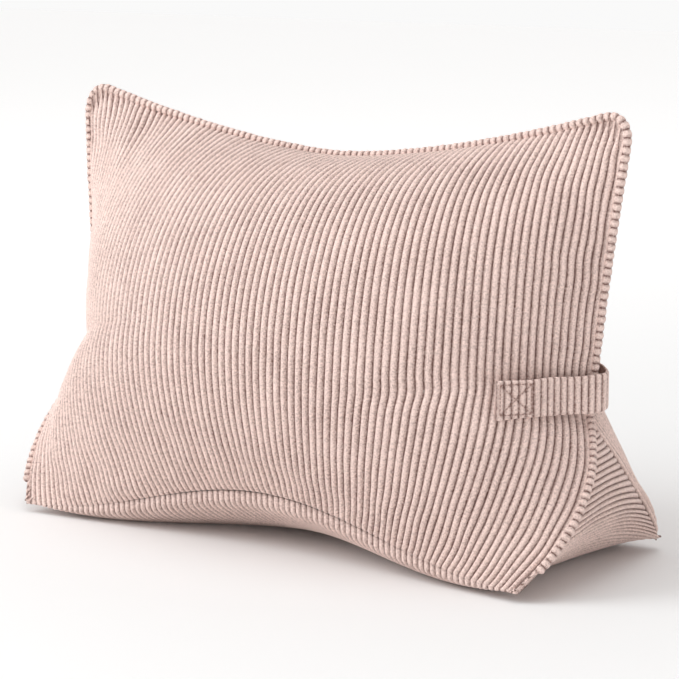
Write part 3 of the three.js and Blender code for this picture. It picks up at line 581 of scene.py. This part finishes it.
def back_strip(name, start, end, rows, lift, relief, node_slot, material, *cad_nodes):
    """A strip of cloth along the back's bottom edge, between two lengths up from the bottom seam."""
    a = np.linspace(0.006, 0.994, WALES_ACROSS * (4 if relief else 2) + 1)
    low, high = distance_up("back", a, start), distance_up("back", a, end)
    b = low[:, None] + np.linspace(0, 1, rows)[None, :] * (high - low)[:, None]
    spots = skin("back", np.repeat(a[:, None], rows, 1), b)
    up = np.linspace(0, end - start, rows)[None, :]
    edge = np.minimum(np.minimum(up, end - start - up), np.minimum(a, 1 - a)[:, None] * 0.54)
    if relief:
        spots, phase, run = wales_on(spots, WALES_ACROSS, True, edge + 0.001, 31, np.array([0, 0, 0.15]))
    else:
        phase, run = np.repeat(a[:, None] * WALES_ACROSS, rows, 1), np.repeat(up, len(a), 0)
    covered = 0 if relief else -0.0036 * fade(
        (np.abs(2 * a - 1) * BASE_HALF_WIDTH - ZIP_END + 0.002) / 0.008)[:, None]
    spots[..., 1] += lift + covered
    return cloth_piece(name, spots, phase, run, 0.0067, node_slot, material, *cad_nodes, thickness=0.0007)


back_hem = back_strip("back_hem_cover", 0, HEM_WIDTH, 9, 0, True, "corduroy", corduroy, "back_hem")


def base_cloth():
    rows = close_rows(46)
    a = even_across(PANELS["base"], rows, WALES_ACROSS * 4)
    spots = skin("base", a, np.repeat(rows[None, :], a.shape[0], 0))
    step = np.linalg.norm(np.diff(spots, axis=1), axis=-1)
    run = np.concatenate([np.zeros((a.shape[0], 1)), np.cumsum(step, axis=1)], axis=1)
    count = np.arange(a.shape[0])
    from_side = np.minimum(count, a.shape[0] - 1 - count)[:, None] / (a.shape[0] - 1) * 0.55
    edge = np.minimum(np.minimum(from_side, run), run[:, -1:] - run)
    spots, phase, run = wales_on(spots, WALES_ACROSS, True, edge, 41, np.array([0, 0, 0.15]))
    return cloth_piece("base_cover", spots, phase, run, 0.0067, "corduroy", corduroy, "base_panel")


base_cloth()

GUSSET_WALES = 22


def gusset_cloth(name, side, seed, node):
    level = np.linspace(0, 0.985, 120)
    middle = PANELS[side](np.full_like(level, 0.5), level)
    height = np.concatenate([[0], np.cumsum(np.linalg.norm(np.diff(middle, axis=0), axis=1))])
    b = np.interp(np.linspace(0, height[-1], GUSSET_WALES * 5 + 1), height, level)
    a = close_rows(40)
    spots = skin(side, np.repeat(a[:, None], len(b), 1), np.repeat(b[None, :], len(a), 0))
    across = np.linalg.norm(np.diff(spots, axis=0), axis=-1)
    run = np.concatenate([np.zeros((1, len(b))), np.cumsum(across, axis=0)], axis=0)
    up = np.concatenate([np.zeros((len(a), 1)),
                         np.cumsum(np.linalg.norm(np.diff(spots, axis=1), axis=-1), 1)], 1)
    edge = np.minimum(np.minimum(run, run[-1:] - run), up)
    spots, phase, along = wales_on(spots, GUSSET_WALES, False, edge, seed, np.array([0, 0, 0.06]))
    return cloth_piece(name, spots, phase, run, 0.0067, "corduroy", corduroy, node)


for gusset_name, gusset_side, gusset_seed in (("gusset_cover_right", "right", 51),
                                              ("gusset_cover_left", "left", 61)):
    gusset = gusset_cloth(gusset_name, gusset_side, gusset_seed, "gusset_" + gusset_side)

# ---------------------------------------------------------------- piping
# A cotton cord in a sleeve of the same corduroy, cut across its wales so that they ring it like a rope.
# It is caught in the seam up both sides, round the rounded corners and along the top.
PIPING_RADIUS = 0.0039
RING_PITCH = 0.0067


def piping_line():
    low = np.linspace(0.052, APEX_SHARE, 60)
    high = np.linspace(APEX_SHARE, 1 - TOP_CORNER_RADIUS / TOP_CORNER_RISE, 120)[1:]
    turn = np.linspace(0, math.pi / 2, 30)[1:]
    lower = skin("front", np.ones_like(low), low)
    upper = seam_centre(np.ones_like(high), high)
    corner_a = 1 - TOP_CORNER_RADIUS * (1 - np.cos(turn)) / (2 * TOP_HALF_WIDTH)
    corner_b = 1 - TOP_CORNER_RADIUS * (1 - np.sin(turn)) / TOP_CORNER_RISE
    top = np.linspace(corner_a[-1], 0.5, 120)[1:]
    right = np.concatenate([lower, upper, seam_centre(corner_a, corner_b),
                            seam_centre(top, np.ones_like(top))])
    line = np.concatenate([right, (right * [-1, 1, 1])[::-1][1:]])
    for _ in range(6):
        line[1:-1] = (line[:-2] + 2 * line[1:-1] + line[2:]) / 4
    return line


def even_line(line, steps):
    run = np.concatenate([[0], np.cumsum(np.linalg.norm(np.diff(line, axis=0), axis=1))])
    at = np.linspace(0, run[-1], steps + 1)
    return np.stack([np.interp(at, run, line[:, k]) for k in range(line.shape[1])], -1), at


seam_line, seam_run = even_line(piping_line(), int(1700))
rings = round(seam_run[-1] / RING_PITCH)
seam_line, seam_run = even_line(piping_line(), rings * 8)
heading = np.gradient(seam_line, axis=0)
heading /= np.linalg.norm(heading, axis=1, keepdims=True)
sideways = np.cross(heading, [0, 1, 0])
sideways /= np.linalg.norm(sideways, axis=1, keepdims=True)
upright = np.cross(heading, sideways)


def sleeve_place(a, b):
    """a runs round the cord, b along it; the ends are closed to a point."""
    k = np.rint(b * (len(seam_run) - 1)).astype(int)
    turn = 2 * math.pi * a
    ring = np.abs(np.sin(math.pi * rings * b)) ** 0.7
    uneven = 1 + unevenness(turn * 0.002, seam_run[k], 71, 0.05, 0.011)
    end = np.sqrt(np.clip(np.minimum(seam_run[k], seam_run[-1] - seam_run[k]) / 0.003, 0, 1))
    radius = (PIPING_RADIUS - 0.0011 * (1 - ring)) * uneven * end
    return seam_line[k] + radius[:, None] * (np.cos(turn)[:, None] * sideways[k]
                                             + np.sin(turn)[:, None] * upright[k])


bm = bmesh.new()
cloth_grid(bm, 12, len(seam_run) - 1, sleeve_place)
cut_layer = bm.loops.layers.uv.new("cut")
bm.verts.index_update()
for face in bm.faces:
    for loop in face.loops:
        loop[cut_layer].uv = (loop.vert.index // 13 / 8, loop.vert.index % 13 * 0.3)
bmesh.ops.remove_doubles(bm, verts=bm.verts, dist=1e-6)
bmesh.ops.recalc_face_normals(bm, faces=bm.faces)
piping = finish_piece("piping", bm, "corduroy", corduroy, "piping_sleeve", "piping_cord")

# ---------------------------------------------------------------- carrying strap
# A doubled strip of corduroy with its wales across, sewn flat to the front and the back and slack round
# the right side so that a hand goes under it. Each end is held by a stitched box with a cross.
strap_low, strap_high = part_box("handle_strap")
STRAP_MIDDLE, STRAP_WIDTH = (strap_low.z + strap_high.z) / 2, strap_high.z - strap_low.z
STRAP_THICKNESS, SEWN_LENGTH, SEWN_START = 0.0026, 0.034, 0.232
HAND_GAP = 0.006


def skin_outline(side):
    """The skin seen from above at the strap's height: its widest line over the strap's width."""
    a = np.linspace(0.7, 1, 121)
    b = np.linspace(0.3, 0.7, 121)
    spots = skin(side, np.repeat(a[:, None], 121, 1), np.repeat(b[None, :], 121, 0))
    line = []
    for column in spots:
        cuts = [np.array([np.interp(z, column[:, 2], column[:, k]) for k in (0, 1)])
                for z in (strap_low.z, STRAP_MIDDLE, strap_high.z)]
        y = [cut[1] for cut in cuts]
        line.append([max(cut[0] for cut in cuts), max(y) if side == "back" else min(y)])
    return np.array(line)


def strap_half(side):
    """From the sewn end to the side: the points that the strap's inner face follows."""
    line = skin_outline(side)
    line = line[line[:, 0].argmin():] if line[0, 0] < SEWN_START else line
    run = np.concatenate([[0], np.cumsum(np.linalg.norm(np.diff(line, axis=0), axis=1))])
    first = np.interp(SEWN_START, line[:, 0], run)
    at = lambda s: np.array([np.interp(s, run, line[:, k]) for k in (0, 1)])
    out = 1 if side == "back" else -1
    away = np.array([0.8, 0.6 * out])
    sewn = [at(first + s) + [0.0002, 0.0006 * out] for s in np.linspace(0, SEWN_LENGTH, 7)]
    start, end = sewn[0], sewn[-1]
    across = (end - start) / np.linalg.norm(end - start)
    normal = np.array([-out * across[1], out * across[0]])
    rise = max(0, max((p - start) @ normal for p in sewn))
    sewn = [start + across * np.linalg.norm(end - start) * t + normal * (0.4 * rise + 0.0004)
            for t in np.linspace(0, 1, 7)]
    left = run[-1] - first - SEWN_LENGTH
    free = [at(first + SEWN_LENGTH + left * t) + away * (0.0006 + (HAND_GAP + PIPING_RADIUS - 0.0006) * t)
            for t in (0.45, 0.8)]
    return sewn, free


front_sewn, front_free = strap_half("front")
back_sewn, back_free = strap_half("back")
seam_at = skin_outline("front")[-1]
turn_at = np.array([strap_high.x - 0.0022, seam_at[1]])
knots = np.array([*front_sewn, *front_free, turn_at, *back_free[::-1], *back_sewn[::-1]])
smooth_line = np.array([
    np.interp(np.linspace(0, len(knots) - 1, 400), np.arange(len(knots)), knots[:, k]) for k in (0, 1)]).T
for _ in range(60):
    smooth_line[1:-1] = (smooth_line[:-2] + 2 * smooth_line[1:-1] + smooth_line[2:]) / 4
ribs = round(np.linalg.norm(np.diff(smooth_line, axis=0), axis=1).sum() / 0.0063)
strap_line, strap_run = even_line(smooth_line, ribs * 6)
strap_along = np.gradient(strap_line, axis=0)
strap_along /= np.linalg.norm(strap_along, axis=1, keepdims=True)
strap_out = np.stack([strap_along[:, 1], -strap_along[:, 0]], -1)


def strap_face(run, height, lift):
    """Points over the strap: run along it, height from its middle line, lift above its inner face."""
    line = np.stack([np.interp(run, strap_run, strap_line[:, k]) for k in (0, 1)], -1)
    out = np.stack([np.interp(run, strap_run, strap_out[:, k]) for k in (0, 1)], -1)
    spot = line + out * lift[..., None]
    return np.stack([spot[..., 0], spot[..., 1], STRAP_MIDDLE + height], -1)


def sewn_lines():
    """Each end's box and cross as pieces of line, in run and height."""
    half = STRAP_WIDTH / 2 - 0.0035
    for start, sign_ in ((0.0030, 1), (strap_run[-1] - 0.0030, -1)):
        end = start + sign_ * (SEWN_LENGTH - 0.0065)
        corners = [(start, -half), (end, -half), (end, half), (start, half)]
        for k in range(4):
            yield corners[k], corners[(k + 1) % 4]
        yield corners[0], corners[2]
        yield corners[1], corners[3]


def near_stitching(run, height):
    least = np.full(np.broadcast(run, height).shape, 1.0)
    for (x0, y0), (x1, y1) in sewn_lines():
        dx, dy = x1 - x0, y1 - y0
        t = np.clip(((run - x0) * dx + (height - y0) * dy) / (dx * dx + dy * dy), 0, 1)
        least = np.minimum(least, np.hypot(run - x0 - t * dx, height - y0 - t * dy))
    return least


heights = np.concatenate([[-1, -0.985, -0.95, -0.9], np.linspace(-0.84, 0.84, 23),
                          [0.9, 0.95, 0.985, 1]]) * STRAP_WIDTH / 2
runs = strap_run[:, None] + 0 * heights[None, :]
tall = heights[None, :] + 0 * strap_run[:, None]
rib = np.abs(np.sin(math.pi * ribs * runs / strap_run[-1])) ** 0.65
round_edge = np.sqrt(np.clip(1 - ((np.abs(tall) - STRAP_WIDTH / 2 + 0.0022) / 0.0022).clip(0, 1) ** 2, 0, 1))
round_end = np.sqrt(np.clip(np.minimum(runs, strap_run[-1] - runs) / 0.0022, 0, 1))
pressed = 0.0018 * np.exp(-((near_stitching(runs, tall) / 0.0013) ** 2))
lift = 0.0004 + (STRAP_THICKNESS - 0.0012 * (1 - rib) - pressed) * round_edge * np.minimum(1, round_end)
sag = 0.0008 * np.sin(runs * 60) * fade((np.minimum(runs, strap_run[-1] - runs) - SEWN_LENGTH) / 0.02)
spots = strap_face(runs, tall + sag + unevenness(runs, tall, 83, 0.0003, 0.03), lift)
strap = cloth_piece("strap", spots, ribs * runs / strap_run[-1], tall, 0.0063,
                    "corduroy", corduroy, "handle_strap", thickness=0.0010)

sewing_thread = plain_weave("sewing_thread", (0.26, 0.145, 0.12), (0.48, 0.31, 0.27), 0.0004)


def stitch_run(bm, start, end, length, gap, radius, where):
    """A row of stitches: short threads that dip into the cloth at both ends."""
    whole = math.dist(start, end)
    count = max(1, round(whole / (length + gap)))
    for k in range(count):
        t0, t1 = (k + gap / (length + gap) / 2) / count, (k + 1 - gap / (length + gap) / 2) / count
        made = bmesh.ops.create_uvsphere(bm, u_segments=6, v_segments=5, radius=1)["verts"]
        for vert in made:
            t = t0 + (t1 - t0) * (vert.co.z + 1) / 2
            x, y = start[0] + (end[0] - start[0]) * t, start[1] + (end[1] - start[1]) * t
            nx, ny = -(end[1] - start[1]) / whole, (end[0] - start[0]) / whole
            dip = radius * 0.9 * vert.co.z**2
            vert.co = where(x + nx * radius * vert.co.x, y + ny * radius * vert.co.x,
                            radius * vert.co.y - dip)


def on_strap(run, height, lift):
    rib_here = abs(math.sin(math.pi * ribs * run / strap_run[-1])) ** 0.65
    base_lift = 0.0004 + STRAP_THICKNESS - 0.0012 * (1 - rib_here) * 0.6 - 0.0009
    return Vector(strap_face(np.array(run), np.array(height), np.array(base_lift + lift)))


for stitch_name, stitch_node, first in (
        ("strap_stitching_front", "handle_stitch_front", 0),
        ("strap_stitching_back", "handle_stitch_back", 6)):
    bm = bmesh.new()
    for line_start, line_end in list(sewn_lines())[first:first + 6]:
        stitch_run(bm, line_start, line_end, 0.0026, 0.0006, 0.00038, on_strap)
    finish_piece(stitch_name, bm, "thread", sewing_thread, stitch_node)

# ---------------------------------------------------------------- zip
# A closed-end zip along the bottom of the back: two woven tapes with a row of metal teeth each, a slider
# with a pull tab at its closed end on the left, and stops at both ends.
zip_tape_cloth = plain_weave("zip_tape_cloth", (0.52, 0.35, 0.31), (0.70, 0.51, 0.46), 0.0007)
lower_tape = back_strip("zip_tape_low", 0.0075, 0.0171, 7, -0.0009, False, "zip_tape", zip_tape_cloth,
                        "zip_tape_lower")
upper_tape = back_strip("zip_tape_high", 0.0222, 0.0325, 7, -0.0009, False, "zip_tape", zip_tape_cloth,
                        "zip_tape_upper")


def metal(name, colour, roughness):
    """Satin nickel plate with fine polishing marks and a random dull mottle."""
    material, shader, place, start = finish_of(name, Metallic=0.95)
    marks = start.node("TexNoise", None, {"Vector": place, "Scale": 2600.0, "Detail": 3.0})
    dull = start.node("TexNoise", None, {"Vector": place, "Scale": 260.0, "Detail": 2.0})
    low = tuple(0.72 * c for c in colour)
    bump = start.node("Bump", None, {"Height": marks, "Strength": 0.15, "Distance": 0.0001})
    wear(shader, Base_Color=tint(start, dull, low, colour), Roughness=roughness + (marks - 0.5) * 0.2,
         Normal=bump)
    return material


nickel = metal("satin_nickel", (0.72, 0.70, 0.66), 0.34)
for half, lean in (("upper", 0.0), ("lower", 0.5)):
    chain_low, chain_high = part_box("zip_chain_" + half)
    chain_middle = (chain_low + chain_high) / 2
    pitch = 0.0026
    teeth = int((chain_high.x - chain_low.x) / pitch) - 1
    bm = bmesh.new()
    for k in range(teeth):
        tooth = bmesh.ops.create_cube(bm, size=1)["verts"]
        bmesh.ops.scale(bm, vec=(pitch * 0.62, 0.0022, 0.0022), verts=tooth)
        edges = {edge for vert in tooth for edge in vert.link_edges}
        bmesh.ops.bevel(bm, geom=list(edges), offset=0.0004, segments=1, profile=0.5, affect="EDGES",
                        material=-1)
    bm.verts.ensure_lookup_table()
    each = len(bm.verts) // teeth
    for k in range(teeth):
        spot = Vector((chain_low.x + pitch * (k + 0.75 + lean), chain_middle.y, chain_middle.z))
        for vert in bm.verts[k * each:(k + 1) * each]:
            vert.co += spot
    finish_piece("zip_teeth_" + half, bm, "zip_metal", nickel, "zip_chain_" + half, smooth=False)

for node in ("zip_top_stop_upper", "zip_top_stop_lower", "zip_bottom_stop", "zip_slider", "zip_pull"):
    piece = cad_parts[node]
    piece.data.materials.clear()
    piece.data.materials.append(nickel)

# ---------------------------------------------------------------- care label
# A blank satin ribbon label by the zip's left end, sewn down along its outer edge and lifting slightly.
satin = plain_weave("label_satin", (0.80, 0.78, 0.74), (0.93, 0.91, 0.88), 0.0005, Sheen_Weight=0.3)
label_a = np.linspace(0.028, 0.072, 15)
label_b = np.linspace(0.2, 0.3, 13)
spots = skin("back", np.repeat(label_a[:, None], 13, 1), np.repeat(label_b[None, :], 15, 0))
normal = np.cross(np.gradient(spots, axis=0), np.gradient(spots, axis=1))
normal /= np.linalg.norm(normal, axis=-1, keepdims=True)
normal *= np.sign((normal * (spots - [0, 0, 0.15])).sum())
share = np.linspace(0, 1, 15)[:, None] + 0 * label_b[None, :]
spots = spots + normal * (0.0012 + 0.0022 * share**2 * (1 + 0.3 * np.sin(label_b * 60))[None, :])[..., None]
label = cloth_piece("label", spots, share * 20, label_b[None, :] + 0 * share, 0.02,
                    "label", satin, "care_label",
                    thickness=0.0003)

# ---------------------------------------------------------------- floor, light and camera
# A pale seamless floor, which glows with painted light away from the cushion, under soft daylight from the
# left, and the camera a little above the cushion.
def studio_floor():
    bm = bmesh.new()
    bmesh.ops.create_grid(bm, x_segments=2, y_segments=2, size=8)
    mesh = bpy.data.meshes.new("studio_floor")
    bm.to_mesh(mesh)
    bm.free()
    floor = bpy.data.objects.new("studio_floor", mesh)
    bpy.context.scene.collection.objects.link(floor)
    material, shader, place, start = finish_of("pale_floor", Roughness=0.85)
    cloud = start.node("TexNoise", None, {"Vector": place, "Scale": 2.0, "Detail": 1.0})
    away = start.node("VectorMath", {"operation": "LENGTH"}, {0: place}, out="Value")
    # Painted light: the floor glows more the farther it lies from the origin under the cushion, from none
    # within 0.28 m up to 0.40 at 2.6 m, lightening the far floor and the cushion's cast shadow.
    painted_floor_glow = start.node("MapRange", {"clamp": True}, {0: away, 1: 0.28, 2: 2.6, 3: 0.0, 4: 0.40})
    shader.inputs["Emission Strength"].default_value = 1
    wear(shader, Base_Color=tint(start, cloud, (0.87, 0.862, 0.857), (0.885, 0.877, 0.872)),
         Emission_Color=tint(start, painted_floor_glow, (0, 0, 0), (1, 0.995, 0.99)))
    mesh.materials.append(material)


studio_floor()


def softbox(name, place, aim, size, power, colour=(1, 1, 1)):
    light = bpy.data.lights.new(name, "AREA")
    light.shape, light.size, light.energy, light.color = "DISK", size, power, colour
    lamp = bpy.data.objects.new(name, light)
    lamp.location = place
    lamp.rotation_mode = "QUATERNION"
    lamp.rotation_quaternion = (Vector(aim) - Vector(place)).to_track_quat("-Z", "Y")
    bpy.context.scene.collection.objects.link(lamp)


softbox("window_light", (-2.2, -1.9, 2.0), (0, 0, 0.15), 2.6, 62, (0.95, 0.985, 1.0))
softbox("top_light", (0.2, -0.4, 3.0), (0, 0, 0.1), 3.0, 27)
sky = bpy.data.worlds.new("studio_sky")
sky.use_nodes = True
heaven = Dye(sky.node_tree, None)
looking = heaven.node("SeparateXYZ", None, {0: heaven.node("TexCoord", out="Object")}, out="Z")
strength = heaven.node("MapRange", {"interpolation_type": "SMOOTHSTEP"},
                       {0: looking, 1: 0.2, 2: 0.5, 3: 0.955, 4: 0.56})
background = sky.node_tree.nodes["Background"]
background.inputs[0].default_value = (1, 0.998, 0.995, 1)
sky.node_tree.links.new(strength.socket, background.inputs[1])
bpy.context.scene.world = sky

lens = bpy.data.cameras.new("camera")
lens.sensor_width = 36
lens.lens = 141.8
lens.shift_x, lens.shift_y = 0.0143, -0.0107
lens.clip_end = 50
camera = bpy.data.objects.new("camera", lens)
bpy.context.scene.collection.objects.link(camera)
azimuth, elevation, distance = math.radians(37.145), math.radians(9.272), 2.3793
towards = Vector((
    math.sin(azimuth) * math.cos(elevation), -math.cos(azimuth) * math.cos(elevation), math.sin(elevation)))
camera.location = Vector((-0.0043, 0, 0.18)) + home + towards * distance
camera.rotation_mode = "QUATERNION"
camera.rotation_quaternion = towards.to_track_quat("Z", "Y")
bpy.context.scene.camera = camera
bpy.context.scene.view_settings.view_transform = "Standard"
